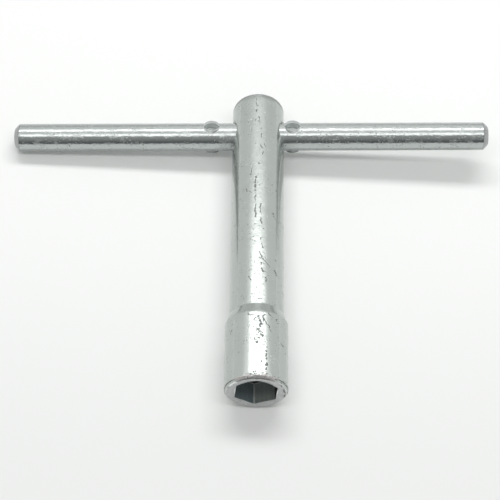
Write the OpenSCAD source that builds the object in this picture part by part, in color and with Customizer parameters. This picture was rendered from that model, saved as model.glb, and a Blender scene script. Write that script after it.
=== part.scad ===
// Socket wrench with a sliding cross bar. X runs along the bar, Y along the shank, Z is up.
// The origin is the middle of the socket's mouth, and the mouth opens towards -Y.

/* [Socket head] */
// Nut size across flats
nut_af = 14; // [10:0.5:15]
// Play across flats between the nut and the socket
nut_play = 0.15; // [0.05:0.05:0.4]
// Depth of the hexagon
hex_depth = 8; // [5:0.5:14]
// Turn of the hexagon from corners straight up and down
hex_turn = 6; // [0:1:30]
// Diameter of the shallow round lead-in at the mouth of the hexagon
lead_d = 15.5; // [15:0.1:18]
// How far the lead-in sits off the middle of the hexagon, upwards
lead_shift = 0.65; // [0:0.05:1]
// Slope of the lead-in, from the flat face of the mouth
lead_slope = 22; // [10:1:45]
// Outside diameter of the head
head_d = 22; // [20:0.5:30]
// Length of the plain round head
head_len = 26; // [20:0.5:50]
// Bevel round the mouth
mouth_bevel = 0.8; // [0.2:0.1:1]
// Diameter of the relief bore behind the hexagon
relief_d = 13.5; // [8:0.5:14]
// Length of the relief bore behind the hexagon
relief_len = 12; // [4:0.5:20]
// Point angle of the drill that made the relief bore
drill_angle = 118; // [90:1:140]

/* [Shank] */
// Diameter of the shank
shank_d = 19; // [16:0.5:20]
// Length of the body from the mouth to the far end
body_len = 123; // [100:1:250]
// Length of the cone between the head and the shank
shoulder_len = 3.8; // [2:0.1:20]
// Rounding of the far end
end_round = 4.75; // [0.5:0.25:7]
// Distance from the far end to the middle of the cross hole
hole_inset = 15.2; // [12:0.1:30]
// Bevel at both mouths of the cross hole
hole_bevel = 0.5; // [0.1:0.1:1]

/* [Cross bar] */
// Diameter of the bar
bar_d = 10.3; // [8:0.1:11]
// Length of the bar
bar_len = 176; // [120:1:300]
// Bevel at both ends of the bar
bar_bevel = 1.8; // [0.4:0.1:3]
// Radial play of the bar in the cross hole
bar_play = 0.2; // [0.05:0.05:0.4]

/* [Staked stops] */
// Distance between the middles of the two stops
stop_spacing = 30; // [28:0.5:60]
// How far the pair of stops sits off the bar's middle
stop_shift = 0.5; // [-3:0.1:3]
// Diameter of a punch mark at its rim
punch_d = 5.4; // [3:0.1:6]
// Depth of a punch mark below the crown of the bar
punch_depth = 1.4; // [0.5:0.1:2]
// Narrowing of a punch mark from its rim to its floor, on the radius
punch_taper = 0.4; // [0.1:0.1:1]
// Lean of the punch marks from straight up, about the bar
punch_lean = 12; // [-40:1:40]
// Width of the lip of steel raised round a punch mark
lip_w = 0.25; // [0.15:0.05:0.8]
// How far the lip stands above the crown of the bar
lip_height = 0.4; // [0.3:0.05:1]
// Gap left between a lip and the shank where the lip stops the bar
stop_gap = 0.15; // [0.1:0.05:0.5]
// Way from the stopped bar to the bar as it lies
rest_gap = 1.75; // [0:0.05:2]

/* [Hidden] */
$fn = 96;
STEEL = [0.74, 0.76, 0.75];
CUT = 1;
head_r = head_d / 2;
shank_r = shank_d / 2;
shoulder_end = head_len + shoulder_len;
hole_y = body_len - hole_inset;
bar_r = bar_d / 2;
hole_r = bar_r + bar_play;
hex_af = nut_af + nut_play;
hex_corner_d = hex_af / cos(30);
lead_r = lead_d / 2;
lead_rise = tan(lead_slope);
relief_r = relief_d / 2;
relief_end = hex_depth + relief_len;
drill_tip = relief_r / tan(drill_angle / 2);
lip_r = punch_d / 2 + lip_w;
lip_top = bar_r + lip_height;
// A lip stops on the shank at the upper or lower edge of the cross hole.
hole_edge_z = hole_r * cos(punch_lean);
stopped_x = sqrt(shank_r * shank_r - hole_edge_z * hole_edge_z) + lip_r + stop_gap;
// The bar lies slid to -X, with the stop on the +X side near the shank.
bar_mid_x = stopped_x + rest_gap - stop_spacing / 2 - stop_shift;

// Turns a shape made along Z to lie along the shank, from the mouth to the far end.
module along_shank() rotate([-90, 0, 0]) children();

// Turns a shape made along Z to lie along the bar.
module along_bar() rotate([0, 90, 0]) children();

// Half section of the body, with the axis at x = 0 and the mouth at y = 0.
module body_section() {
    polygon([
        [0, 0],
        [head_r - mouth_bevel, 0],
        [head_r, mouth_bevel],
        [head_r, head_len],
        [shank_r, shoulder_end],
        [shank_r, body_len - end_round],
        [0, body_len - end_round]
    ]);
    square([shank_r - end_round, body_len]);
    intersection() {
        translate([shank_r - end_round, body_len - end_round]) circle(end_round);
        translate([0, body_len - end_round]) square([shank_r, end_round]);
    }
}

// Hexagon for the nut, with a lead-in before it and a drilled relief bore behind it.
module socket_hollow() {
    translate([0, -lead_shift, -CUT])
        cylinder(r1 = lead_r + CUT / lead_rise, r2 = 0, h = lead_r * lead_rise + CUT);
    rotate([0, 0, 30 + hex_turn])
        translate([0, 0, -CUT]) cylinder(d = hex_corner_d, h = hex_depth + CUT, $fn = 6);
    cylinder(r = relief_r, h = relief_end);
    translate([0, 0, relief_end]) cylinder(r1 = relief_r, r2 = 0, h = drill_tip);
}

// Cross hole for the bar, bevelled at both mouths.
module cross_hole() {
    flare = hole_bevel + CUT;
    cylinder(r = hole_r, h = shank_d + 2 * CUT, center = true);
    for (turn = [0, 180])
        rotate([turn, 0, 0]) translate([0, 0, shank_r - hole_bevel])
            cylinder(r1 = hole_r, r2 = hole_r + flare, h = flare);
}

// Forged body: round head with the socket, cone, shank and cross hole.
module socket_body() color(STEEL) difference() {
    along_shank() rotate_extrude() body_section();
    along_shank() socket_hollow();
    translate([0, hole_y, 0]) along_bar() cross_hole();
}

// Round bar with bevelled ends, about its own middle.
module plain_bar() {
    plain_len = bar_len - 2 * bar_bevel;
    cylinder(r = bar_r, h = plain_len, center = true);
    for (turn = [0, 180])
        rotate([turn, 0, 0]) translate([0, 0, plain_len / 2])
            cylinder(r1 = bar_r, r2 = bar_r - bar_bevel, h = bar_bevel);
}

// Lips of steel raised round a pair of opposite punch marks.
module raised_lips() cylinder(r = lip_r, h = 2 * lip_top, center = true);

// Opposite punch marks in the crown and in the underside of the bar, open at their lips.
module punch_marks() {
    deep = punch_depth + lip_height;
    slope = punch_taper / deep;
    for (turn = [0, 180])
        rotate([turn, 0, 0]) translate([0, 0, lip_top - deep])
            cylinder(r1 = punch_d / 2 - punch_taper, r2 = punch_d / 2 + slope * CUT, h = deep + CUT);
}

// Places a shape at both stops, as they lie on the bar.
module at_stops()
    for (side = [-1, 1])
        translate([stop_shift + side * stop_spacing / 2, 0, 0]) rotate([-punch_lean, 0, 0]) children();

// Cross bar with its staked stops, which keep it from sliding out of the shank.
module cross_bar() color(STEEL) translate([bar_mid_x, hole_y, 0]) difference() {
    union() {
        along_bar() plain_bar();
        at_stops() raised_lips();
    }
    at_stops() punch_marks();
}

socket_body();
cross_bar();
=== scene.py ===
"""Socket wrench with a sliding cross bar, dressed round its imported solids.

X runs along the bar, Y along the shank with the mouth facing -Y, and Z is up.
Every length is in metres.
"""
import math
from functools import partial, reduce

import bmesh
import bpy
from mathutils import Matrix, Vector


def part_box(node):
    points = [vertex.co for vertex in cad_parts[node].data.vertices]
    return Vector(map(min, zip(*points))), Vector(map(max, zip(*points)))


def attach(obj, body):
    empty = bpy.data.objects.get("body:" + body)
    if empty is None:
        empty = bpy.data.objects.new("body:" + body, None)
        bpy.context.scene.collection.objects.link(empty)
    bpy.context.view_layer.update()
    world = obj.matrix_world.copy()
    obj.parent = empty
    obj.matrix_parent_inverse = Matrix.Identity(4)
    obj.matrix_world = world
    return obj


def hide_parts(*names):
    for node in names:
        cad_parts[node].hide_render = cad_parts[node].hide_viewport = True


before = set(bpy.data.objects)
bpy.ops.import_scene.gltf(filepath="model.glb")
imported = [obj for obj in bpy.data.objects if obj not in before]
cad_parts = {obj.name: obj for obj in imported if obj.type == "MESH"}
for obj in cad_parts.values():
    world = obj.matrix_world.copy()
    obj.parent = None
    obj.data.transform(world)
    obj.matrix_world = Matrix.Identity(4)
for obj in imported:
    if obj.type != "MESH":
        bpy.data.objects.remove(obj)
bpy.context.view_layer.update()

MM = 0.001
BODY_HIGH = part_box("socket_body")[1]
BAR_LOW, BAR_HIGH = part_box("cross_bar")

# Sizes of the body
BODY_LEN = BODY_HIGH.y
HEAD_R = 11 * MM
HEAD_LEN = 26 * MM
MOUTH_BEVEL = 0.8 * MM
SHOULDER_LEN = 3.8 * MM
SHANK_R = 9.5 * MM
END_ROUND = 4.75 * MM
HOLE_INSET = 15.2 * MM
HOLE_BEVEL = 0.5 * MM

# Sizes of the socket in the head
NUT_AF = 14 * MM
NUT_PLAY = 0.15 * MM
HEX_FLAT_R = (NUT_AF + NUT_PLAY) / 2
HEX_DEPTH = 8 * MM
HEX_TURN = math.radians(6)
HEX_SIDES = 6
SIDE_ANGLE = 2 * math.pi / HEX_SIDES
LEAD_R = 7.75 * MM
LEAD_SHIFT = 0.65 * MM
LEAD_RISE = math.tan(math.radians(22))
RELIEF_R = 6.75 * MM
RELIEF_LEN = 12 * MM
RELIEF_END = HEX_DEPTH + RELIEF_LEN
DRILL_ANGLE = math.radians(118)
DRILL_TIP = RELIEF_R / math.tan(DRILL_ANGLE / 2)

# Sizes of the bar
BAR_LEN = BAR_HIGH.x - BAR_LOW.x
BAR_MID_X = (BAR_HIGH.x + BAR_LOW.x) / 2
BAR_Y = BODY_LEN - HOLE_INSET
BAR_R = 5.15 * MM
BAR_BEVEL = 1.8 * MM
BAR_PLAY = 0.2 * MM
HOLE_R = BAR_R + BAR_PLAY

# Sizes of the staked stops on the bar
STOP_SPACING = 30 * MM
STOP_SHIFT = 0.5 * MM
PUNCH_R = 2.7 * MM
PUNCH_TAPER = 0.4 * MM
PUNCH_DEPTH = 1.4 * MM
PUNCH_LEAN = math.radians(12)
LIP_WIDTH = 0.25 * MM
LIP_HEIGHT = 0.4 * MM
LIP_R = PUNCH_R + LIP_WIDTH
LIP_TOP = BAR_R + LIP_HEIGHT


# Short ways to build node trees, from plain values and other nodes' outputs

def put(socket, value):
    """Links a socket to another node's output, or sets the socket's own value."""
    if isinstance(value, bpy.types.NodeSocket):
        socket.id_data.links.new(value, socket)
    else:
        socket.default_value = value


def titled(inputs):
    """Turns names such as patch_scale into labels of sockets such as Patch Scale."""
    return {name.replace("_", " ").title(): value for name, value in inputs.items()}


def add(tree, kind, inputs=None, **options):
    """Adds a node, sets its options and fills its inputs by name or number."""
    made = tree.nodes.new(kind)
    for name, value in options.items():
        setattr(made, name, value)
    for key, value in (inputs or {}).items():
        put(made.inputs[key], value)
    return made


def node_on(kind, *values, **options):
    """Adds a node that takes the given values, in the tree of the first output among them."""
    tree = next(value.id_data for value in values if isinstance(value, bpy.types.NodeSocket))
    return add(tree, kind, dict(enumerate(values)), **options)


def calc(operation, *values):
    """Returns the result of a Math node on the given values."""
    return node_on("ShaderNodeMath", *values, operation=operation).outputs[0]


# Math nodes by short names. The product in times_plus is of the first two values.
plus = partial(calc, "ADD")
minus = partial(calc, "SUBTRACT")
times_plus = partial(calc, "MULTIPLY_ADD")
larger = partial(calc, "MAXIMUM")
absolute = partial(calc, "ABSOLUTE")


def times(*factors):
    """Returns the product of two or more factors."""
    return reduce(partial(calc, "MULTIPLY"), factors)


def vector_calc(operation, *values):
    """Returns the vector from a Vector Math node on the given values."""
    return node_on("ShaderNodeVectorMath", *values, operation=operation).outputs["Vector"]


def scaled(vector, factor):
    """Returns a vector times a number."""
    inputs = {0: vector, "Scale": factor}
    return add(vector.id_data, "ShaderNodeVectorMath", inputs, operation="SCALE").outputs["Vector"]


def length(vector):
    """Returns the length of a vector."""
    return node_on("ShaderNodeVectorMath", vector, operation="LENGTH").outputs["Value"]


def split(vector):
    """Returns the three parts of a vector."""
    return node_on("ShaderNodeSeparateXYZ", vector).outputs


def combine(x, y, z):
    """Returns a vector made of three parts."""
    return node_on("ShaderNodeCombineXYZ", x, y, z).outputs[0]


def off_y_axis(parts):
    """Returns how far a point lies from the Y axis, from the parts of its place."""
    return length(combine(parts["X"], 0, parts["Z"]))


def ramp(value, low, high):
    """Returns 0 below low and 1 above high, with a smooth step between. High may be the lower one."""
    made = node_on("ShaderNodeMapRange", value, low, high, interpolation_type="SMOOTHSTEP")
    return made.outputs["Result"]


def mix(factor, first, second):
    """Returns a colour between two colours."""
    inputs = {0: factor, 6: first, 7: second}
    return add(factor.id_data, "ShaderNodeMix", inputs, data_type="RGBA").outputs[2]


def noise(tree, **inputs):
    """Returns the outputs of a noise: a number first, and a colour."""
    return add(tree, "ShaderNodeTexNoise", titled(inputs), noise_dimensions="3D").outputs


def noise_aside(tree, **inputs):
    """Returns a short vector that points any way, from a noise."""
    return vector_calc("SUBTRACT", noise(tree, **inputs)["Color"], (0.5, 0.5, 0.5))


def change(shape, kind, **inputs):
    """Puts a shape through a Geometry Node and returns what comes out."""
    return add(shape.id_data, "GeometryNode" + kind, {0: shape, **titled(inputs)}).outputs[0]


SOCKET_KINDS = {
    "number": "NodeSocketFloat",
    "count": "NodeSocketInt",
    "vector": "NodeSocketVector",
    "shape": "NodeSocketGeometry",
}


def numbers(*labels):
    """Names the inputs or outputs of a group that are plain numbers."""
    return dict.fromkeys(labels, "number")


def open_group(name, tree_kind, inputs, outputs):
    """Starts a node group and returns its tree, its input sockets and its output node."""
    tree = bpy.data.node_groups.new(name, tree_kind)
    for label, kind in inputs.items():
        tree.interface.new_socket(name=label, in_out="INPUT", socket_type=SOCKET_KINDS[kind])
    for label, kind in outputs.items():
        tree.interface.new_socket(name=label, in_out="OUTPUT", socket_type=SOCKET_KINDS[kind])
    given = tree.nodes.new("NodeGroupInput").outputs
    result = tree.nodes.new("NodeGroupOutput")
    return tree, given, result


# Shapes made by Geometry Nodes

WELD = 0.002 * MM
# How far a cutter stands past the skin that it cuts
CUT = 1 * MM
# Columns of faces round each turned shape
AROUND_BODY = 216
AROUND_BAR = 240
AROUND_HOLE = 120
AROUND_STOP = 96


def position(tree):
    """Returns the three parts of each point's place."""
    return split(add(tree, "GeometryNodeInputPosition").outputs[0])


def turned_strip_group():
    """One strip of a turned shape about the Y axis, from one radius and place to another."""
    tree, given, result = open_group(
        "turned_strip",
        "GeometryNodeTree",
        {
            **numbers("Start Radius", "Start Place", "End Radius", "End Place", "Bow"),
            **numbers("Start Corners", "End Corners", "Corner Blend", "Turn"),
            "Rows": "count",
            "Around": "count",
        },
        {"Strip": "shape"},
    )
    columns = plus(given["Around"], 1)
    rows = plus(given["Rows"], 1)
    grid = add(
        tree,
        "GeometryNodeMeshGrid",
        {"Size X": 1, "Size Y": 1, "Vertices X": columns, "Vertices Y": rows},
    )
    place = position(tree)
    round_part = plus(place["X"], 0.5)
    along_part = plus(place["Y"], 0.5)

    # Shares of the way, straight for a bow of 0 and on a quarter round for 1 or -1
    quarter = times(along_part, math.pi / 2)
    quick_part = calc("SINE", quarter)
    slow_part = minus(1, calc("COSINE", quarter))
    outward = larger(given["Bow"], 0)
    inward = larger(times(given["Bow"], -1), 0)

    def bowed(first, second):
        with_first = times(outward, minus(first, along_part))
        with_second = times(inward, minus(second, along_part))
        return plus(along_part, plus(with_first, with_second))

    radius_share = bowed(slow_part, quick_part)
    place_share = bowed(quick_part, slow_part)

    # How much further out a hexagon is than its flats, with its corners blended
    side_part = calc("FRACT", times(round_part, HEX_SIDES))
    off_flat = times(minus(side_part, 0.5), SIDE_ANGLE)
    to_next = minus(SIDE_ANGLE, absolute(off_flat))
    this_side = calc("DIVIDE", 1, calc("COSINE", off_flat))
    next_side = calc("DIVIDE", 1, calc("COSINE", to_next))
    reach = calc("SMOOTH_MIN", this_side, next_side, given["Corner Blend"])
    extra = minus(reach, 1)

    def end_radius(which):
        corners = times(given[which + " Corners"], extra)
        return times(given[which + " Radius"], plus(corners, 1))

    start = end_radius("Start")
    radius = times_plus(minus(end_radius("End"), start), radius_share, start)
    run = minus(given["End Place"], given["Start Place"])
    level = times_plus(run, place_share, given["Start Place"])
    angle = times_plus(round_part, 2 * math.pi, given["Turn"])
    x = times(radius, calc("SINE", angle))
    down = times(radius, calc("COSINE", angle))
    rolled = combine(x, level, times(down, -1))
    put(result.inputs["Strip"], change(grid.outputs["Mesh"], "SetPosition", position=rolled))
    return tree


def place_strip(tree, strip, start, end, rows, around, bow=0.0, **hexagon):
    """Places one strip between two stations, each given as a radius and a place."""
    inputs = {
        "Start Radius": start[0],
        "Start Place": start[1],
        "End Radius": end[0],
        "End Place": end[1],
        "Bow": bow,
        "Rows": rows,
        "Around": around,
    }
    return add(tree, "GeometryNodeGroup", {**inputs, **titled(hexagon)}, node_tree=strip).outputs[0]


def strips_along(tree, strip, stations, around):
    """Strips from station to station: radius, place, and the rows and bow of the strip that ends there."""
    strips = []
    for (r0, place0, _, _), (r1, place1, rows, bow) in zip(stations, stations[1:]):
        strips.append(place_strip(tree, strip, (r0, place0), (r1, place1), rows, around, bow))
    return strips


def join_strips(tree, strips):
    """Joins strips that share their edges into one closed skin, which faces outwards."""
    joined = tree.nodes.new("GeometryNodeJoinGeometry")
    for strip in strips:
        tree.links.new(strip, joined.inputs[0])
    return change(change(joined.outputs[0], "MergeByDistance", distance=WELD), "FlipFaces")


STOP_SIZES = {
    "Lip Radius": LIP_R,
    "Lip Top": LIP_TOP,
    "Lip Round": 0.09 * MM,
    "Punch Radius": PUNCH_R,
    "Floor Radius": PUNCH_R - PUNCH_TAPER,
    "Floor Level": BAR_R - PUNCH_DEPTH,
    "Dish": 0.2 * MM,
    "Crater Share Along": 0.98,
    "Crater Share Across": 0.66,
    "Crater Shift": 0.42 * MM,
    "Lean": PUNCH_LEAN,
    "Wear": 0.08 * MM,
}
# How far a stop's core keeps inside the lips, so that the craters overlap the bar
CORE_INSET = 0.15 * MM


def staked_stop_group(strip):
    """A staked stop through a bar along X: its core to cut out, and two lipped craters to put in."""
    tree, given, result = open_group(
        "staked_stop",
        "GeometryNodeTree",
        numbers("Stop Place", *STOP_SIZES),
        {"Core": "shape", "Craters": "shape"},
    )
    lip_r = given["Lip Radius"]
    top = given["Lip Top"]
    edge = given["Lip Round"]
    below_top = minus(top, edge)
    middle_level = minus(given["Floor Level"], given["Dish"])

    # Stations from the middle of a crater out over its lip: radius, height, rows and bow
    half = [
        (0, middle_level, 0, 0),
        (given["Floor Radius"], given["Floor Level"], 8, 0.4),
        (given["Punch Radius"], below_top, 8, 0),
        (plus(given["Punch Radius"], edge), top, 4, 0.5),
        (minus(lip_r, edge), top, 2, 0),
        (lip_r, below_top, 4, -0.5),
    ]
    lower = [(r, times(level, -1), rows, bow) for r, level, rows, bow in half]

    # A wall leads up from the lower lip to the upper one, and the stations run back from there
    upper = [(lip_r, below_top, 24, 0)]
    backwards = half[::-1]
    for (_, _, rows, bow), (r, level, _, _) in zip(backwards, backwards[1:]):
        upper.append((r, level, rows, -bow))
    round_craters = join_strips(tree, strips_along(tree, strip, lower + upper, AROUND_STOP))

    # The punch struck off the middle, so the lip is broad behind the crater and narrow in front of it
    at_stop = position(tree)
    crater_r = plus(given["Punch Radius"], times(edge, 1.1))
    along = times(at_stop["X"], given["Crater Share Along"])
    across = times_plus(at_stop["Z"], given["Crater Share Across"], given["Crater Shift"])
    craters = change(
        round_craters,
        "SetPosition",
        selection=calc("LESS_THAN", off_y_axis(at_stop), crater_r),
        position=combine(along, at_stop["Y"], across),
    )

    # Steel that was pushed up by a punch is a little uneven
    push = scaled(noise_aside(tree, scale=900, detail=1.0), given["Wear"])
    worn = change(craters, "SetPosition", offset=push)

    core_r = minus(lip_r, CORE_INSET)
    core_top = plus(top, CUT)
    core_end = times(core_top, -1)
    core_stations = [
        (0, core_end, 0, 0),
        (core_r, core_end, 2, 0),
        (core_r, core_top, 8, 0),
        (0, core_top, 2, 0),
    ]
    core = join_strips(tree, strips_along(tree, strip, core_stations, AROUND_STOP))

    place = combine(given["Stop Place"], 0, 0)
    upright = combine(minus(math.pi / 2, given["Lean"]), 0, 0)
    for label, shape in (("Core", core), ("Craters", worn)):
        put(result.inputs[label], change(shape, "Transform", translation=place, rotation=upright))
    return tree


BODY_SIZES = {
    "Head Radius": HEAD_R,
    "Head Length": HEAD_LEN,
    "Shank Radius": SHANK_R,
    "Shoulder Length": SHOULDER_LEN,
    "Shoulder Round": 0.25 * MM,
    "Shoulder Fillet": 0.15 * MM,
    "Body Length": BODY_LEN,
    "Mouth Bevel": MOUTH_BEVEL,
    "End Round": END_ROUND,
    "Hexagon Flat Radius": HEX_FLAT_R,
    "Hexagon Depth": HEX_DEPTH,
    "Hexagon Turn": -HEX_TURN,
    "Corner Blend": 0.07,
    "Lead Radius": LEAD_R,
    "Lead Shift": LEAD_SHIFT,
    "Lead Rise": LEAD_RISE,
    "Relief Radius": RELIEF_R,
    "Relief End": RELIEF_END,
    "Drill Tip": DRILL_TIP,
    "Hole Place": BAR_Y,
    "Hole Radius": HOLE_R,
    "Hole Bevel": HOLE_BEVEL,
    "Rim Wear": 0.2 * MM,
}
# Length on either side of the shoulder that its blends may reach
BLEND_REACH = 6 * MM
# Length behind the bevel of the mouth that is dented
DENTED_LEN = 1.6 * MM
# Width round the lead-in in which the face of the mouth keeps its fine rows
LEAD_MARGIN = 0.2 * MM
# Depth that lies behind the lead-in all round
PAST_LEAD = 0.6 * MM
# Width inside the bevel that is face of the mouth all round
FACE_RING = 1 * MM
BEVEL_BOW = 0.12


def body_tree(strip, zinc, bore):
    """The turned body: head with the socket, shoulder, shank and the cross hole for the bar."""
    tree, given, result = open_group(
        "turned_body",
        "GeometryNodeTree",
        {"Body": "shape", **numbers(*BODY_SIZES)},
        {"Body": "shape"},
    )

    def strip_of(start, end, rows, bow=0.0, corners=(0, 0)):
        return place_strip(
            tree,
            strip,
            start,
            end,
            rows,
            AROUND_BODY,
            bow,
            start_corners=corners[0],
            end_corners=corners[1],
            corner_blend=given["Corner Blend"],
            turn=given["Hexagon Turn"],
        )

    head_r = given["Head Radius"]
    shank_r = given["Shank Radius"]
    flat_r = given["Hexagon Flat Radius"]
    hex_depth = given["Hexagon Depth"]
    relief_r = given["Relief Radius"]
    relief_end = given["Relief End"]
    body_len = given["Body Length"]
    bevel = given["Mouth Bevel"]
    shoulder_start = minus(given["Head Length"], BLEND_REACH)
    shoulder_stop = plus(plus(given["Head Length"], given["Shoulder Length"]), BLEND_REACH)
    round_start = minus(body_len, given["End Round"])
    end_r = minus(shank_r, given["End Round"])
    rim_r = minus(head_r, bevel)
    lead_r = given["Lead Radius"]
    lead_reach = plus(plus(lead_r, given["Lead Shift"]), LEAD_MARGIN)
    worn_end = plus(bevel, DENTED_LEN)

    # The shoulder: a cone blended into the head and the shank
    sleeve = strip_of((1, shoulder_start), (1, shoulder_stop), 80)
    at_sleeve = position(tree)
    fall = calc("DIVIDE", minus(head_r, shank_r), given["Shoulder Length"])
    past_head = minus(at_sleeve["Y"], given["Head Length"])
    cone = minus(head_r, times(past_head, fall))
    above_shank = calc("SMOOTH_MAX", cone, shank_r, given["Shoulder Fillet"])
    radius = calc("SMOOTH_MIN", above_shank, head_r, given["Shoulder Round"])
    x = times(at_sleeve["X"], radius)
    z = times(at_sleeve["Z"], radius)
    shoulder = change(sleeve, "SetPosition", position=combine(x, at_sleeve["Y"], z))

    skin = join_strips(
        tree,
        [
            strip_of((flat_r, 0), (lead_reach, 0), 24, corners=(1, 0)),
            strip_of((lead_reach, 0), (rim_r, 0), 6),
            strip_of((rim_r, 0), (head_r, bevel), 6, bow=-BEVEL_BOW),
            strip_of((head_r, bevel), (head_r, worn_end), 8),
            strip_of((head_r, worn_end), (head_r, shoulder_start), 20),
            shoulder,
            strip_of((shank_r, shoulder_stop), (shank_r, round_start), 90),
            strip_of((shank_r, round_start), (end_r, body_len), 18, bow=1),
            strip_of((end_r, body_len), (0, body_len), 6),
            strip_of((flat_r, hex_depth), (flat_r, 0), 12, corners=(1, 1)),
            strip_of((relief_r, hex_depth), (flat_r, hex_depth), 4, corners=(0, 1)),
            strip_of((relief_r, relief_end), (relief_r, hex_depth), 12),
            strip_of((0, plus(relief_end, given["Drill Tip"])), (relief_r, relief_end), 8),
        ],
    )

    # The lead-in: inside its circle the face of the mouth falls back towards the hexagon
    at_mouth = position(tree)
    from_lead = combine(at_mouth["X"], 0, minus(at_mouth["Z"], given["Lead Shift"]))
    inside_lead = larger(minus(lead_r, length(from_lead)), 0)
    sunk = change(
        skin,
        "SetPosition",
        selection=calc("LESS_THAN", at_mouth["Y"], 0.01 * MM),
        offset=combine(0, times(inside_lead, given["Lead Rise"]), 0),
    )

    # Small dents along the rim of the mouth, where the tool has been dropped and used
    at_rim = position(tree)
    aside = combine(at_rim["X"], 0, at_rim["Z"])
    from_axis = length(aside)
    near_mouth = ramp(at_rim["Y"], worn_end, bevel)
    near_edge = ramp(from_axis, rim_r, head_r)
    depth = ramp(noise(tree, scale=650, detail=2.0, roughness=0.6)[0], 0.42, 0.72)
    inwards = times(near_mouth, near_edge, depth, given["Rim Wear"], -1)
    dent = scaled(vector_calc("NORMALIZE", aside), inwards)
    worn = change(sunk, "SetPosition", offset=dent)

    # The cross hole, bevelled at both mouths
    hole_r = given["Hole Radius"]
    flare_r = plus(hole_r, plus(given["Hole Bevel"], CUT))
    flare_start = minus(shank_r, given["Hole Bevel"])
    past_skin = plus(shank_r, CUT)
    back_start = times(flare_start, -1)
    back_skin = times(past_skin, -1)
    drill_stations = [
        (0, back_skin, 0, 0),
        (flare_r, back_skin, 2, 0),
        (hole_r, back_start, 3, 0),
        (hole_r, flare_start, 24, 0),
        (flare_r, past_skin, 3, 0),
        (0, past_skin, 2, 0),
    ]
    drill = join_strips(tree, strips_along(tree, strip, drill_stations, AROUND_HOLE))
    place = combine(0, given["Hole Place"], 0)
    across = change(drill, "Transform", translation=place, rotation=(0, 0, -math.pi / 2))
    drilled = add(tree, "GeometryNodeMeshBoolean", operation="DIFFERENCE", solver="EXACT")
    tree.links.new(worn, drilled.inputs["Mesh 1"])
    tree.links.new(across, drilled.inputs["Mesh 2"])

    # The socket's inside takes its own finish
    at_face = position(tree)
    facing = split(add(tree, "GeometryNodeInputNormal").outputs[0])
    on_wall = calc("LESS_THAN", absolute(facing["Y"]), 0.5)
    behind_mouth = larger(on_wall, calc("GREATER_THAN", at_face["Y"], PAST_LEAD))
    before_shank = calc("LESS_THAN", at_face["Y"], given["Head Length"])
    near_axis = calc("LESS_THAN", off_y_axis(at_face), minus(rim_r, FACE_RING))
    hollow = times(behind_mouth, before_shank, near_axis)
    real = change(drilled.outputs["Mesh"], "RealizeInstances")
    plated = change(real, "SetMaterial", material=zinc)
    bored = change(plated, "SetMaterial", selection=hollow, material=bore)
    put(result.inputs["Body"], bored)
    return tree


BAR_SIZES = {
    "Length": BAR_LEN,
    "Radius": BAR_R,
    "Bevel": BAR_BEVEL,
    "Stop Spacing": STOP_SPACING,
    "Stop Shift": STOP_SHIFT,
    **STOP_SIZES,
    "Place": (BAR_MID_X, BAR_Y, 0),
}


def bar_tree(strip, stop, zinc):
    """The cross bar, with bevelled ends and a staked stop on each side of the shank."""
    tree, given, result = open_group(
        "drawn_bar",
        "GeometryNodeTree",
        {"Bar": "shape", **numbers(*BAR_SIZES), "Place": "vector"},
        {"Bar": "shape"},
    )
    half = times(given["Length"], 0.5)
    half_spacing = times(given["Stop Spacing"], 0.5)
    stop_places = [
        minus(given["Stop Shift"], half_spacing),
        plus(given["Stop Shift"], half_spacing),
    ]
    start = times(half, -1)
    radius = given["Radius"]
    tip_r = minus(radius, given["Bevel"])
    stations = [
        (0, start, 0, 0),
        (tip_r, start, 4, 0),
        (radius, plus(start, given["Bevel"]), 8, -BEVEL_BOW),
        (radius, minus(half, given["Bevel"]), 10, 0),
        (tip_r, half, 8, BEVEL_BOW),
        (0, half, 4, 0),
    ]
    skin = join_strips(tree, strips_along(tree, strip, stations, AROUND_BAR))
    drawn = change(skin, "Transform", rotation=(0, 0, -math.pi / 2))

    # Each stop's core is cut out of the bar, and its craters take that place
    cored = add(tree, "GeometryNodeMeshBoolean", operation="DIFFERENCE", solver="EXACT")
    staked = add(tree, "GeometryNodeMeshBoolean", operation="UNION", solver="EXACT")
    tree.links.new(drawn, cored.inputs["Mesh 1"])
    tree.links.new(cored.outputs["Mesh"], staked.inputs["Mesh 2"])
    for place in stop_places:
        inputs = {label: given[label] for label in STOP_SIZES}
        made = add(tree, "GeometryNodeGroup", {"Stop Place": place, **inputs}, node_tree=stop)
        tree.links.new(made.outputs["Core"], cored.inputs["Mesh 2"])
        tree.links.new(made.outputs["Craters"], staked.inputs["Mesh 2"])
    placed = change(staked.outputs["Mesh"], "Transform", translation=given["Place"])
    real = change(placed, "RealizeInstances")
    put(result.inputs["Bar"], change(real, "SetMaterial", material=zinc))
    return tree


SHARP_EDGE = math.radians(24)


def make_piece(name, tree, sizes):
    """Runs a tree with the given sizes and keeps its result as a plain mesh."""
    piece = bpy.data.objects.new(name, bpy.data.meshes.new(name + "_start"))
    bpy.context.scene.collection.objects.link(piece)
    modifier = piece.modifiers.new("shape", "NODES")
    modifier.node_group = tree
    for socket in tree.interface.items_tree:
        if socket.in_out == "INPUT" and socket.name in sizes:
            modifier[socket.identifier] = sizes[socket.name]
    seen = piece.evaluated_get(bpy.context.evaluated_depsgraph_get())
    mesh = bpy.data.meshes.new_from_object(seen)
    piece.modifiers.clear()
    piece.data = mesh
    mesh.name = name
    work = bmesh.new()
    work.from_mesh(mesh)
    bmesh.ops.dissolve_degenerate(work, dist=WELD / 2, edges=work.edges)
    bmesh.ops.recalc_face_normals(work, faces=work.faces)
    work.to_mesh(mesh)
    work.free()
    mesh.shade_smooth()
    mesh.set_sharp_from_angle(angle=SHARP_EDGE)
    return piece


# Finishes

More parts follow.
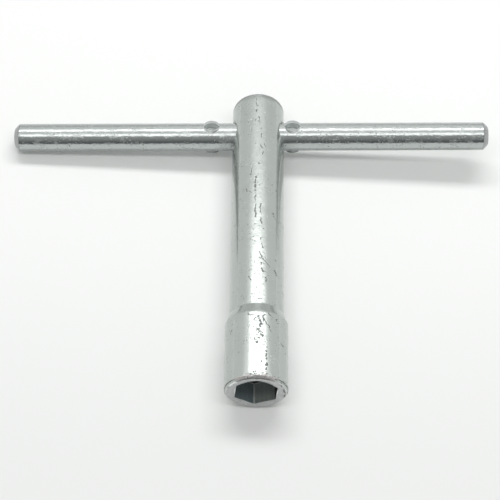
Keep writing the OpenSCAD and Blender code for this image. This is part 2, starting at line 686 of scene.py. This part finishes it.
def specks_group():
    """Scattered specks, gathered in patches: 1 in a speck and 0 beside it."""
    tree, given, result = open_group(
        "specks",
        "ShaderNodeTree",
        {"Vector": "vector", **numbers("Scale", "Share", "Size", "Patch Scale", "Patch Level")},
        {"Mask": "number"},
    )
    place = given["Vector"]
    aside = noise_aside(tree, vector=place, scale=given["Scale"], detail=1.0)
    warped = vector_calc("ADD", place, scaled(aside, calc("DIVIDE", 0.7, given["Scale"])))
    cells = add(
        tree,
        "ShaderNodeTexVoronoi",
        {"Vector": warped, "Scale": given["Scale"]},
        feature="F1",
        voronoi_dimensions="3D",
    )
    chance = split(cells.outputs["Color"])
    patch = noise(tree, vector=place, scale=given["Patch Scale"], detail=2.0)[0]
    crowd = ramp(patch, given["Patch Level"], plus(given["Patch Level"], 0.12))
    kept = calc("LESS_THAN", chance["X"], times(given["Share"], crowd))
    reach = times(given["Size"], times_plus(chance["Y"], 0.7, 0.5))
    speck = ramp(cells.outputs["Distance"], reach, times(reach, 0.55))
    put(result.inputs["Mask"], times(kept, speck))
    return tree


def cloud_group():
    """Soft cloudy change of tone, as on a plated surface: about 0 to 1."""
    tree, given, result = open_group(
        "cloud",
        "ShaderNodeTree",
        {"Vector": "vector", **numbers("Scale", "Contrast")},
        {"Tone": "number"},
    )
    broad = noise(tree, vector=given["Vector"], scale=given["Scale"], detail=4.0, roughness=0.65)[0]
    spread = times_plus(minus(broad, 0.5), given["Contrast"], 0.5)
    put(result.inputs["Tone"], node_on("ShaderNodeClamp", spread).outputs[0])
    return tree


def edge_wear_group():
    """Wear along an edge: 1 on a rubbed edge, broken up by noise, and 0 away from it."""
    tree, given, result = open_group(
        "edge_wear",
        "ShaderNodeTree",
        {"Vector": "vector", **numbers("Distance", "Width", "Scale")},
        {"Mask": "number"},
    )
    ragged = noise(tree, vector=given["Vector"], scale=given["Scale"], detail=3.0, roughness=0.7)[0]
    reach = times(given["Width"], larger(times_plus(ragged, 4.5, -1.5), 0))
    put(result.inputs["Mask"], ramp(given["Distance"], reach, times(reach, 0.85)))
    return tree


def scratch_group():
    """One scratch, or a pit where its ends meet: 1 in it and 0 beside it, with ragged edges."""
    tree, given, result = open_group(
        "scratch",
        "ShaderNodeTree",
        {"Vector": "vector", "Start": "vector", "End": "vector", **numbers("Width", "Ragged")},
        {"Mask": "number"},
    )

    def dot(first, second):
        made = node_on("ShaderNodeVectorMath", first, second, operation="DOT_PRODUCT")
        return made.outputs["Value"]

    to_point = vector_calc("SUBTRACT", given["Vector"], given["Start"])
    run = vector_calc("SUBTRACT", given["End"], given["Start"])
    share = calc("DIVIDE", dot(to_point, run), larger(dot(run, run), 1e-12))
    nearest = scaled(run, node_on("ShaderNodeClamp", share).outputs[0])
    off = length(vector_calc("SUBTRACT", to_point, nearest))
    reach = times(given["Width"], times_plus(given["Ragged"], 4.2, -1.1))
    put(result.inputs["Mask"], ramp(off, reach, times(reach, 0.4)))
    return tree


def open_material(name, metallic):
    """Starts a material and returns it, its Principled BSDF and the Object coordinates."""
    material = bpy.data.materials.new(name)
    material.use_nodes = True
    nodes = material.node_tree.nodes
    shader = nodes["Principled BSDF"]
    shader.inputs["Metallic"].default_value = metallic
    return material, shader, nodes.new("ShaderNodeTexCoord").outputs["Object"]


def mapped(vector, scale):
    """Stretches a pattern on a piece, the more the smaller the scale is."""
    return add(vector.id_data, "ShaderNodeMapping", {"Vector": vector, "Scale": scale}).outputs[0]


def place_group(group, vector, **inputs):
    """Places a shared effect in a material and returns its output."""
    labelled = {"Vector": vector, **titled(inputs)}
    return add(vector.id_data, "ShaderNodeGroup", labelled, node_tree=group).outputs[0]


def place_specks(group, vector, scale, patches, **inputs):
    """Places specks. The patches that they gather in have a scale and a level."""
    inputs.update(scale=scale, patch_scale=patches[0], patch_level=patches[1])
    return place_group(group, vector, **inputs)


def bump(height, distance, under=None):
    """Turns a height into a normal, over another one if that is given."""
    inputs = {"Height": height, "Distance": distance, "Strength": 1}
    made = add(height.id_data, "ShaderNodeBump", inputs)
    if under is not None:
        put(made.inputs["Normal"], under)
    return made.outputs[0]


# Marks of use on the body: the angle off the crest in degrees and the place along the body in
# millimetres where each starts, the same where it ends, and its half width in millimetres
WEAR_MARKS = [
    (-3, 118.5, -3, 115, 0.2),
    (-3, 113.5, -3, 112.5, 0.2),
    (-5, 109.5, -4, 108, 0.2),
    (4, 110, 4, 107.5, 0.2),
    (7, 105, 7, 104.6, 0.22),
    (9, 102.3, 9.5, 101, 0.28),
    (15, 98, 16.5, 97, 0.2),
    (8, 97, 9, 96.4, 0.24),
    (11, 94.3, 12, 93.6, 0.24),
    (3, 89, 3, 89, 0.3),
    (-12, 87, -14, 84.5, 0.2),
    (-4, 83.5, -4, 80.5, 0.36),
    (-4, 79.3, -3, 78.8, 0.4),
    (-5, 78.5, -4, 77, 0.3),
    (-25, 78, -25, 77.5, 0.35),
    (-23, 77.5, -11, 76.5, 0.15),
    (0, 74, 0, 74, 0.25),
    (-4, 75, -4, 72.5, 0.28),
    (-4, 71, -3, 66, 0.34),
    (7, 71.5, 7, 70, 0.28),
    (8, 69, 8, 68, 0.32),
    (8, 67.2, 9, 67, 0.3),
    (37, 68.5, 38, 67, 0.35),
    (8, 65.5, 9, 63, 0.42),
    (7, 57, 8, 56, 0.3),
    (11, 54.5, 14, 53, 0.25),
    (5, 51, 14, 48, 0.24),
    (14, 48, 29, 45.5, 0.18),
    (7, 48.5, 7, 48.5, 0.25),
    (-4, 47, -4, 47, 0.25),
    (10, 46.5, 9, 45.5, 0.25),
    (10, 44.5, 13, 43, 0.28),
    (13, 43, 22, 42.5, 0.2),
    (40, 44.5, 47, 43, 0.3),
    (-3, 42, -3, 42, 0.25),
    (-18, 41, -12, 39.5, 0.28),
    (21, 41, 21, 39, 0.22),
    (-14, 24.8, -5, 24.2, 0.2),
    (3, 24, 3, 24, 0.42),
    (11, 24, 16, 24.4, 0.26),
    (20, 25.2, 31, 24.3, 0.3),
    (39, 23.6, 39, 23.6, 0.4),
    (-1, 23, -2, 22.4, 0.3),
    (7, 22.8, 7, 21.8, 0.4),
    (9, 21, 9, 19.6, 0.4),
    (11, 23.3, 15, 22.5, 0.24),
    (16, 22.3, 21, 21, 0.28),
    (21, 21, 28, 18.8, 0.22),
    (5, 18.4, 5, 18.4, 0.4),
    (5, 17.3, 5, 17.3, 0.3),
    (8, 17.5, 9, 16.6, 0.34),
    (9, 16.5, 13, 16, 0.32),
    (13, 17.4, 13, 17.4, 0.34),
    (4, 15.2, 6, 15.3, 0.32),
    (-1, 15, -1, 15, 0.3),
    (1, 14.2, 1, 13.3, 0.3),
    (21, 12, 21, 12, 0.3),
    (19, 10.6, 20, 10.4, 0.3),
    (19, 9.6, 19, 8.6, 0.34),
    (19, 7.8, 18, 7.4, 0.34),
    (20, 6.1, 20, 4.8, 0.28),
    (19, 3.8, 19, 3.6, 0.3),
    (10, 6.4, 10, 5.8, 0.2),
    (-51, 20, -49, 20.6, 0.28),
    (51, 15, 57, 14.8, 0.26),
    (-7, 1.6, -7, 1.6, 0.22),
    (-3.5, 2.1, -3.5, 1.8, 0.24),
    (-1, 1.1, -1, 1.1, 0.3),
    (0, 2.3, 0, 2.3, 0.18),
    (1.5, 1.5, 1.5, 1.5, 0.24),
    (19, 2.1, 18, 1.6, 0.2),
]
# Marks on the face of the mouth, given likewise, but by X and Z in millimetres
FACE_MARKS = [
    (-7.6, 5.8, -7.6, 5.8, 0.4),
    (-8.8, 3.7, -9.6, 3.8, 0.3),
    (8.1, 5.4, 8.7, 4.4, 0.3),
    (9.5, 2.3, 10.1, -0.8, 0.24),
    (10.1, -0.8, 9.5, -4, 0.24),
]
# Bright patches on that face, given in the same way
FACE_BRIGHT_PATCHES = [
    (-8.8, 5.2, -7.2, 7.2, 0.7),
    (9.6, 4.4, 8.8, 6, 0.5),
]
# Radius at which the body is unrolled, between those of the head and the shank
UNROLL_R = 10 * MM
# Double the way that a mark's line may wander aside
WANDER = 1.6 * MM


def placed_marks(scratch, place, unrolled, marks):
    """A list of marks as one mask. Each mark's ends and half width are in metres."""
    edges = noise(place.id_data, vector=place, scale=1300.0, detail=2.0)[0]
    aside = noise_aside(place.id_data, vector=place, scale=900.0, detail=1.0)
    wandered = vector_calc("MULTIPLY_ADD", aside, (WANDER, WANDER, 0), unrolled)
    masks = [
        place_group(scratch, wandered, start=start, end=end, width=width, ragged=edges)
        for start, end, width in marks
    ]
    return reduce(larger, masks)


def marks_on_skin(scratch, place):
    """The marks of use along the body, laid out on the body unrolled about its crest."""
    parts = split(place)
    around = times(calc("ARCTAN2", parts["X"], parts["Z"]), UNROLL_R)
    marks = []
    for start_angle, start_place, end_angle, end_place, width in WEAR_MARKS:
        start = (math.radians(start_angle) * UNROLL_R, start_place * MM, 0)
        end = (math.radians(end_angle) * UNROLL_R, end_place * MM, 0)
        marks.append((start, end, width * MM))
    return placed_marks(scratch, place, combine(around, parts["Y"], 0), marks)


def marks_on_face(scratch, place, listed):
    """Marks on the flat face of the mouth."""
    parts = split(place)
    marks = [
        ((x0 * MM, z0 * MM, 0), (x1 * MM, z1 * MM, 0), width * MM) for x0, z0, x1, z1, width in listed
    ]
    return placed_marks(scratch, place, combine(parts["X"], parts["Z"], 0), marks)


def body_zinc(specks, cloud, edge_wear, scratch):
    """Clear zinc plating on the forged body, cloudy, pitted and scratched by use, with painted shade at
    the rim, the far end and the cross hole, and a painted highlight on the lead-in.
    """
    material, shader, place = open_material("body_zinc", 1.0)
    parts = split(place)
    from_axis = off_y_axis(parts)
    tone = place_group(cloud, place, scale=170.0, contrast=1.6)
    grain = place_group(cloud, place, scale=1400.0, contrast=2.0)
    pits = place_specks(specks, place, 1100.0, share=0.65, size=0.34, patches=(110.0, 0.46))
    dimples = place_specks(specks, place, 900.0, share=0.6, size=0.4, patches=(140.0, 0.47))
    along = mapped(place, scale=(1, 0.16, 1))
    dashes = place_specks(specks, along, 1300.0, share=0.2, size=0.26, patches=(160.0, 0.54))
    face_r = HEAD_R - MOUTH_BEVEL
    on_skin = ramp(from_axis, face_r, HEAD_R - 0.7 * MOUTH_BEVEL)
    near_mouth = ramp(parts["Y"], 0.7 * MM, 0.55 * MM)
    on_face = times(near_mouth, minus(1, on_skin))
    face_marks = times(marks_on_face(scratch, place, FACE_MARKS), on_face)
    chips = place_specks(specks, place, 1000.0, share=0.9, size=0.42, patches=(400.0, 0.42))
    near_rim = times(ramp(parts["Y"], 2.2 * MM, 1.2 * MM), on_skin)
    chipped = times(chips, near_rim)
    fine_marks = times(larger(pits, dashes), 0.55)
    random_marks = larger(fine_marks, chipped)
    placed = larger(marks_on_skin(scratch, place), face_marks)
    marks = larger(random_marks, placed)

    # Bare steel on the bevel round the mouth and raggedly behind it at the top, and scuffs above the
    # hexagon. The same ragged band at the bottom, and a thin line along the bevel's edge below the top,
    # are painted near black: a painted shade, the dark reflection of the shaded floor under the mouth.
    behind_bevel = minus(parts["Y"], MOUTH_BEVEL)
    past_edge = plus(behind_bevel, 0.2 * MM)
    ragged_rim = place_group(edge_wear, place, distance=past_edge, width=0.8 * MM, scale=800.0)
    edge_line = ramp(absolute(behind_bevel), 0.24 * MM, 0.14 * MM)
    at_top = ramp(parts["Z"], 7.4 * MM, 8.8 * MM)
    at_bottom = ramp(parts["Z"], -4 * MM, -6 * MM)
    broad = times(ragged_rim, plus(at_top, at_bottom))
    rim = times(larger(broad, edge_line), on_skin)
    above = ramp(parts["Z"], 7 * MM, 9 * MM)
    inside_bevel = minus(face_r, from_axis)
    ragged_face = place_group(edge_wear, place, distance=inside_bevel, width=0.65 * MM, scale=900.0)
    scuff = times(ragged_face, on_face, above)

    # Painted shade: the far end is darkened and dulled along its edge, standing in for a dark reflection
    # there, and the edge of the cross hole is darkened and dulled where the bar enters. The hole's edge is
    # also less metallic, a painted light that lets diffuse light lift the shade there.
    past_sides = times(absolute(parts["X"]), 0.3)
    to_end = minus(minus(BODY_LEN, parts["Y"]), past_sides)
    painted_dark_end = times(ramp(to_end, 2.3 * MM, 1.8 * MM), 0.8)
    past_hole = minus(parts["Y"], BAR_Y)
    from_hole = length(combine(0, past_hole, parts["Z"]))
    flare_r = HOLE_R + HOLE_BEVEL
    painted_hole_edge = times(ramp(from_hole, flare_r + 0.12 * MM, flare_r), 0.3)
    painted_dark_edges = larger(painted_dark_end, painted_hole_edge)

    # The turned face of the mouth is blotchy and has bright patches, and its lead-in is painted near
    # white: a painted highlight
    blotch = place_group(cloud, place, scale=420.0, contrast=2.2)
    bright_patches = marks_on_face(scratch, place, FACE_BRIGHT_PATCHES)
    in_lead = ramp(parts["Y"], 0.02 * MM, 0.12 * MM)

    # Zinc, marks in it, and bare steel where it is worn through, with the painted shade and highlight set
    # out above
    bare_steel_and_shade = (0.2, 0.2, 0.195, 1)
    clear = mix(tone, (0.437, 0.466, 0.446, 1), (0.47, 0.5, 0.48, 1))
    turned = mix(blotch, (0.45, 0.462, 0.458, 1), (0.63, 0.642, 0.638, 1))
    # Near white on the lead-in is a painted highlight; the bright patches take the same colour
    bright = mix(larger(in_lead, bright_patches), turned, (0.92, 0.94, 0.93, 1))
    plated = mix(on_face, clear, bright)
    marked = mix(marks, plated, (0.22, 0.23, 0.225, 1))
    # The rim's steel is lighter at the top and painted near black below it, a painted shade
    rim_steel_and_shade = mix(above, bare_steel_and_shade, (0.5, 0.485, 0.475, 1))
    chipped_bare = mix(chipped, rim_steel_and_shade, bare_steel_and_shade)
    worn = mix(rim, marked, chipped_bare)
    scuffed = mix(scuff, worn, bare_steel_and_shade)
    # Painted shade at the far end and round the cross hole
    put(shader.inputs["Base Color"], mix(painted_dark_edges, scuffed, (0.25, 0.26, 0.255, 1)))
    # Painted light: less metallic round the cross hole, so diffuse light lifts the shade there
    put(shader.inputs["Metallic"], times_plus(painted_hole_edge, -1.5, 1))
    rough = times_plus(tone, 0.06, 0.15)
    rough_marks = times_plus(marks, 0.45, rough)
    rough_face = times_plus(on_face, 0.15, rough_marks)
    dulled = larger(rim, painted_dark_edges)
    put(shader.inputs["Roughness"], times_plus(dulled, 0.3, rough_face))
    waves = bump(tone, 0.05 * MM)
    fine = bump(grain, 0.004 * MM, under=waves)
    dimpled = bump(times(dimples, -1), 0.06 * MM, under=fine)
    sunk = bump(times(marks, -1), 0.05 * MM, under=dimpled)
    put(shader.inputs["Normal"], sunk)
    return material


def bore_steel(specks, cloud):
    """Inside of the socket: broached flats, painted lighter on the right and deeper in, with painted
    highlights on the lower corners and the ledge, and painted shade on the bore behind them.
    """
    material, shader, place = open_material("bore_steel", 0.4)
    tone = place_group(cloud, place, scale=420.0, contrast=2.2)
    pits = place_specks(specks, place, 1500.0, share=0.3, size=0.3, patches=(260.0, 0.5))
    broached = mapped(place, scale=(1, 0.05, 1))
    lines = place_group(cloud, broached, scale=1300.0, contrast=2.0)
    parts = split(place)
    from_axis = off_y_axis(parts)
    angle = calc("ARCTAN2", parts["X"], times(parts["Z"], -1))
    sides = calc("DIVIDE", plus(angle, HEX_TURN), SIDE_ANGLE)
    off_corner = absolute(minus(sides, calc("ROUND", sides)))
    to_corner = times(off_corner, SIDE_ANGLE, from_axis)
    # Painted shade: the bore behind the hexagon is painted near black
    behind = ramp(parts["Y"], HEX_DEPTH - 0.06 * MM, HEX_DEPTH - 0.02 * MM)
    low = ramp(parts["Z"], -5 * MM, -6 * MM)
    # Painted highlights: thin lines along the lower corners and on the ledge at the hexagon's end
    corner = times(ramp(to_corner, 0.32 * MM, 0.14 * MM), low)
    ledge = ramp(parts["Y"], HEX_DEPTH - 0.5 * MM, HEX_DEPTH - 0.35 * MM)
    bright = larger(corner, ledge)
    inwards = ramp(parts["Y"], 0, HEX_DEPTH)

    # Painted light and shade on the flats: the left ones darker than the right ones, and all lighter
    # deeper in
    left = mix(lines, (0.13, 0.165, 0.175, 1), (0.2, 0.24, 0.25, 1))
    left_deep = mix(lines, (0.3, 0.37, 0.39, 1), (0.4, 0.47, 0.49, 1))
    right = mix(lines, (0.16, 0.18, 0.17, 1), (0.26, 0.29, 0.27, 1))
    right_deep = mix(lines, (0.44, 0.5, 0.47, 1), (0.6, 0.66, 0.63, 1))
    shaded_left_flat = mix(inwards, left, left_deep)
    lit_right_flat = mix(inwards, right, right_deep)
    side = ramp(parts["X"], -0.9 * MM, -0.5 * MM)
    lit_and_shaded_flats = mix(side, shaded_left_flat, lit_right_flat)
    pitted = mix(pits, lit_and_shaded_flats, (0.08, 0.085, 0.085, 1))
    # Colour of the painted highlights, grey at the mouth and white deeper in
    edges = mix(inwards, (0.5, 0.53, 0.51, 1), (1, 1, 1, 1))
    lined = mix(bright, pitted, edges)
    # Painted shade: near black on the bore and on the wall farthest to the right
    upright = ramp(parts["X"], 6.2 * MM, 6.5 * MM)
    dark = larger(behind, upright)
    put(shader.inputs["Base Color"], mix(dark, lined, (0.04, 0.043, 0.043, 1)))
    put(shader.inputs["Roughness"], times_plus(tone, 0.15, 0.35))
    put(shader.inputs["Normal"], bump(lines, 0.01 * MM))
    return material


def bar_zinc(specks, cloud, edge_wear):
    """Zinc plating on drawn round bar, brighter than the body, with lines along it, and painted light and
    shade at the staked stops and next to the shank.
    """
    material, shader, place = open_material("bar_zinc", 1.0)
    tone = place_group(cloud, place, scale=220.0, contrast=1.6)
    along = mapped(place, scale=(0.12, 1, 1))
    drawn = place_group(cloud, along, scale=1500.0, contrast=2.0)
    stretched = mapped(place, scale=(0.6, 1, 1))
    chatter = place_group(cloud, stretched, scale=640.0, contrast=2.5)
    hazy = place_group(cloud, stretched, scale=560.0, contrast=3.0)
    haze = ramp(hazy, 0.62, 0.85)
    pits = place_specks(specks, place, 1000.0, share=0.75, size=0.34, patches=(130.0, 0.48))
    dashes = place_specks(specks, along, 1200.0, share=0.3, size=0.28, patches=(200.0, 0.5))
    marks = larger(pits, dashes)
    parts = split(place)
    off_middle = absolute(minus(parts["X"], BAR_MID_X))
    bevel_start = BAR_LEN / 2 - BAR_BEVEL
    to_edge = absolute(minus(bevel_start, off_middle))
    rim = place_group(edge_wear, place, distance=to_edge, width=0.35 * MM, scale=700.0)

    # The staked stops, with their lips and craters, and the stretch between them next to the shank. Lips
    # and crater walls carry painted light and shade, and the stretch is less metallic, a painted light
    # that lifts the bar's dark band there.
    off_pair = absolute(minus(parts["X"], BAR_MID_X + STOP_SHIFT))
    along_stop = minus(off_pair, STOP_SPACING / 2)
    about_bar = {"Vector": place, "Center": (0, BAR_Y, 0), "Angle": PUNCH_LEAN}
    upright = add(place.id_data, "ShaderNodeVectorRotate", about_bar, rotation_type="X_AXIS")
    across_stop, up_stop = split(upright.outputs[0])[1:3]
    off_axis = minus(across_stop, BAR_Y)
    off_stop = length(combine(along_stop, off_axis, 0))
    staked = ramp(off_stop, LIP_R + 0.25 * MM, LIP_R + 0.05 * MM)
    below_lip = minus(LIP_TOP, absolute(up_stop))
    inside_lip = ramp(off_stop, LIP_R - 0.1 * MM, LIP_R - 0.2 * MM)
    crater = times(inside_lip, ramp(below_lip, 0.1 * MM, 0.4 * MM))
    past_crater = ramp(off_stop, LIP_R - 0.16 * MM, LIP_R - 0.1 * MM)
    before_bar = ramp(off_stop, LIP_R + 0.12 * MM, LIP_R + 0.06 * MM)
    on_lip = times(past_crater, before_bar)
    lip_wall = times(on_lip, ramp(below_lip, 0.05 * MM, 0.15 * MM))
    on_wall = ramp(below_lip, 1.75 * MM, 1.55 * MM)
    under = ramp(up_stop, 0.5 * MM, -0.5 * MM)
    painted_lift_near_shank = ramp(off_pair, 12.6 * MM, 11.8 * MM)

    clear = mix(tone, (0.445, 0.472, 0.462, 1), (0.475, 0.502, 0.492, 1))
    marked = mix(times(marks, 0.8), clear, (0.3, 0.315, 0.31, 1))
    cut_end = ramp(off_middle, bevel_start, bevel_start + 0.06 * MM)
    ended = mix(cut_end, marked, (0.35, 0.36, 0.36, 1))
    worn = mix(times(rim, 0.6), ended, (0.25, 0.265, 0.26, 1))
    # Painted highlight on the upper lips and painted shade on the lower ones, which reflect the shaded
    # floor
    lit_and_shaded_lips = mix(under, (0.74, 0.76, 0.75, 1), (0.3, 0.315, 0.31, 1))
    lipped = mix(lip_wall, worn, lit_and_shaded_lips)
    # The crater's walls are painted lighter than its floor, a painted light that lifts their shade
    lightened_crater = mix(on_wall, (0.4, 0.42, 0.41, 1), (0.74, 0.77, 0.76, 1))
    put(shader.inputs["Base Color"], mix(crater, lipped, lightened_crater))
    # Painted light: less metallic next to the shank, so diffuse light lifts the bar's dark band there
    put(shader.inputs["Metallic"], times_plus(painted_lift_near_shank, -0.14, 1))
    rough = times_plus(tone, 0.05, 0.11)
    rough_haze = times_plus(haze, 0.22, rough)
    rough_marks = times_plus(marks, 0.3, rough_haze)
    put(shader.inputs["Roughness"], times_plus(staked, 0.3, rough_marks))
    waves = bump(tone, 0.05 * MM)
    chattered = bump(chatter, 0.028 * MM, under=waves)
    lines = bump(drawn, 0.008 * MM, under=chattered)
    sunk = bump(times(marks, -1), 0.04 * MM, under=lines)
    put(shader.inputs["Normal"], sunk)
    return material


# The two pieces

specks = specks_group()
cloud = cloud_group()
edge_wear = edge_wear_group()
scratch = scratch_group()
strip = turned_strip_group()
stop = staked_stop_group(strip)

body_finish = body_zinc(specks, cloud, edge_wear, scratch)
body = make_piece("wrench_body", body_tree(strip, body_finish, bore_steel(specks, cloud)), BODY_SIZES)
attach(body, "socket")
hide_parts("socket_body")

bar_finish = bar_zinc(specks, cloud, edge_wear)
bar = make_piece("slide_bar", bar_tree(strip, stop, bar_finish), BAR_SIZES)
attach(bar, "bar")
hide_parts("cross_bar")


# Floor, light and camera

FLOOR_HALF = 4.0
# The floor lies a hair below the points that the object rests on
FLOOR_DROP = 0.05 * MM


def pale_floor():
    """Matt pale finish of the floor, painted a little darker in front as painted shade, which glows
    faintly everywhere as painted light that lifts its shadows, and more far off to both sides.
    """
    material, shader, place = open_material("floor", 0.0)
    shader.inputs["Roughness"].default_value = 0.9
    shader.inputs["Specular IOR Level"].default_value = 0.2
    shader.inputs["Emission Strength"].default_value = 1
    parts = split(place)
    # Painted shade: the floor is a little darker in front, where the light falls off
    in_front = ramp(parts["Y"], 70 * MM, -60 * MM)
    pale = mix(in_front, (0.9, 0.91, 0.9, 1), (0.84, 0.85, 0.84, 1))
    put(shader.inputs["Base Color"], pale)
    # Painted light: a faint glow everywhere lifts the floor's shadows, and a stronger one lies far off to
    # both sides
    sideways = ramp(absolute(parts["X"]), 0.25, 0.8)
    lit = mix(sideways, (0.07, 0.071, 0.07, 1), (0.5, 0.505, 0.5, 1))
    put(shader.inputs["Emission Color"], lit)
    return material


def lay_floor():
    """A floor that the head, the far end and the bar's left end rest on."""
    head = Vector((0, HEAD_LEN, -HEAD_R))
    far_end = Vector((0, BODY_LEN - END_ROUND, -SHANK_R))
    bar_end = Vector((BAR_LOW.x + BAR_BEVEL, BAR_Y, -BAR_R))
    normal = (bar_end - head).cross(far_end - head).normalized()
    if normal.z < 0:
        normal.negate()
    half = FLOOR_HALF
    corners = [(-half, -half, 0), (half, -half, 0), (half, half, 0), (-half, half, 0)]
    mesh = bpy.data.meshes.new("floor")
    mesh.from_pydata(corners, [], [(0, 1, 2, 3)])
    mesh.materials.append(pale_floor())
    floor = bpy.data.objects.new("floor", mesh)
    bpy.context.scene.collection.objects.link(floor)
    turn = Vector((0, 0, 1)).rotation_difference(normal).to_matrix().to_4x4()
    floor.matrix_world = Matrix.Translation(head - normal * FLOOR_DROP) @ turn


LAMP_HEIGHT = 1.0


def hang_lamp(name, low, high, power):
    """A long flat lamp over the object, between two corners given in X and Y."""
    lamp = bpy.data.lights.new(name, "AREA")
    lamp.shape = "RECTANGLE"
    lamp.size = high[0] - low[0]
    lamp.size_y = high[1] - low[1]
    lamp.energy = power
    holder = bpy.data.objects.new(name, lamp)
    holder.location = ((low[0] + high[0]) / 2, (low[1] + high[1]) / 2, LAMP_HEIGHT)
    holder.visible_camera = False
    holder.visible_glossy = False
    bpy.context.scene.collection.objects.link(holder)


def between(value, low, high, soft):
    """Returns 1 between two values and 0 outside them, with soft edges."""
    rising = ramp(value, low - soft, low + soft)
    falling = ramp(value, high + soft, high - soft)
    return times(rising, falling)


def fading(value, low, high, reach):
    """Returns 1 between two values and less outside them, down to 0 at the given reach."""
    rising = ramp(value, low - reach, low)
    falling = ramp(value, high + reach, high)
    return times(rising, falling)


TENT_R = 1.2
TENT_MIDDLE = (0, 60 * MM, 0)
# Least divisor, which keeps the shares below from growing without end
LEAST = 0.01


def tent_cloth():
    """Light of the tent: pale cloth, a dark opening in front and two long lamps overhead."""
    material = bpy.data.materials.new("tent")
    material.use_nodes = True
    tree = material.node_tree
    tree.nodes.clear()

    # How far aside and how deep a point lies, as shares of its height, and its rise from the front
    parts = split(tree.nodes.new("ShaderNodeTexCoord").outputs["Object"])
    overhead = larger(parts["Z"], LEAST)
    across = calc("DIVIDE", parts["X"], overhead)
    deep = calc("DIVIDE", parts["Y"], overhead)
    forward = times(parts["Y"], -1)
    rise = calc("ARCTAN2", overhead, forward)
    aside = absolute(parts["X"])

    # The cloth is greyer low down at the back
    off_back = calc("DIVIDE", aside, larger(parts["Y"], LEAST))
    straight_back = ramp(off_back, 1.3, 0.7)
    low_down = ramp(rise, math.radians(140), math.radians(160))
    low_back = times(low_down, straight_back)
    pale = mix(low_back, (0.94, 0.95, 0.94, 1), (0.74, 0.75, 0.74, 1))

    # The opening is below the lamps, and darkest near the floor
    off_front = calc("DIVIDE", aside, larger(forward, LEAST))
    below_lamps = ramp(rise, math.radians(68), math.radians(62))
    opening = times(below_lamps, ramp(off_front, 1.2, 0.6))
    upper = ramp(rise, math.radians(4), math.radians(58))
    dark = mix(upper, (0.15, 0.16, 0.165, 1), (0.46, 0.475, 0.47, 1))
    cloth = mix(opening, pale, dark)

    # The cloth glows round the back lamp, and more weakly behind it
    near_deep = times(ramp(deep, 0.15, 0.43), ramp(deep, 0.88, 0.60))
    near_halo = times(fading(across, -0.45, 0.75, 0.9), near_deep)
    far_deep = times(ramp(deep, 0.5, 0.75), ramp(deep, 8.0, 1.5))
    far_halo = times(fading(across, -0.05, 0.35, 0.45), far_deep)
    halo = larger(near_halo, times(far_halo, 0.34))
    glowing = mix(halo, cloth, (1.55, 1.56, 1.55, 1))

    # The back lamp has clear edges, and the front lamp fades towards the back
    back_across = between(across, -0.45, 0.75, 0.06)
    back_lamp = times(back_across, between(deep, 0.42, 0.61, 0.05))
    lit = mix(back_lamp, glowing, (4, 4, 4, 1))
    front_soft = fading(deep, -0.37, -0.22, 0.2)
    front_lamp = times(front_soft, ramp(deep, -0.46, -0.39))
    colour = mix(front_lamp, lit, (2.35, 2.35, 2.35, 1))
    glow = add(tree, "ShaderNodeEmission", {"Color": colour})
    end = tree.nodes.new("ShaderNodeOutputMaterial")
    tree.links.new(glow.outputs[0], end.inputs["Surface"])
    return material


def pitch_tent():
    """A tent round the object, which shows only where metal reflects it."""
    mesh = bpy.data.meshes.new("tent")
    ball = bmesh.new()
    bmesh.ops.create_uvsphere(ball, u_segments=64, v_segments=32, radius=TENT_R)
    ball.to_mesh(mesh)
    ball.free()
    mesh.materials.append(tent_cloth())
    tent = bpy.data.objects.new("tent", mesh)
    tent.location = TENT_MIDDLE
    tent.visible_camera = False
    tent.visible_shadow = False
    tent.visible_diffuse = False
    bpy.context.scene.collection.objects.link(tent)


def set_world():
    """Even light from all round, which fills the shadows."""
    world = bpy.data.worlds.new("studio")
    bpy.context.scene.world = world
    world.use_nodes = True
    fill = world.node_tree.nodes["Background"].inputs["Color"]
    fill.default_value = (0.364, 0.367, 0.364, 1)


def set_camera():
    """The camera of the view: a long lens from the front, high over the object."""
    aim = Vector((-2.6, 57.7, 0)) * MM
    distance = 639.7 * MM
    azimuth = math.radians(2.18)
    elevation = math.radians(57.28)
    roll = math.radians(-1.961)
    level = Vector((math.cos(azimuth), math.sin(azimuth), 0))
    to_front = Vector((math.sin(azimuth), -math.cos(azimuth), 0))
    back = to_front * math.cos(elevation) + Vector((0, 0, math.sin(elevation)))
    right = level * math.cos(roll) + back.cross(level) * math.sin(roll)
    up = back.cross(right)
    camera = bpy.data.cameras.new("camera")
    camera.sensor_width = 36
    camera.lens = 128.72
    camera.clip_start = 0.01
    holder = bpy.data.objects.new("camera", camera)
    bpy.context.scene.collection.objects.link(holder)
    turn = Matrix((right, up, back)).transposed().to_4x4()
    holder.matrix_world = Matrix.Translation(aim + back * distance) @ turn
    bpy.context.scene.camera = holder


bpy.context.scene.view_settings.view_transform = "Standard"
lay_floor()
hang_lamp("back_lamp", (-0.456, 0.49), (0.687, 0.74), power=7.9)
hang_lamp("front_lamp", (-0.5, -0.285), (0.7, -0.105), power=3.02)
pitch_tent()
set_world()
set_camera()
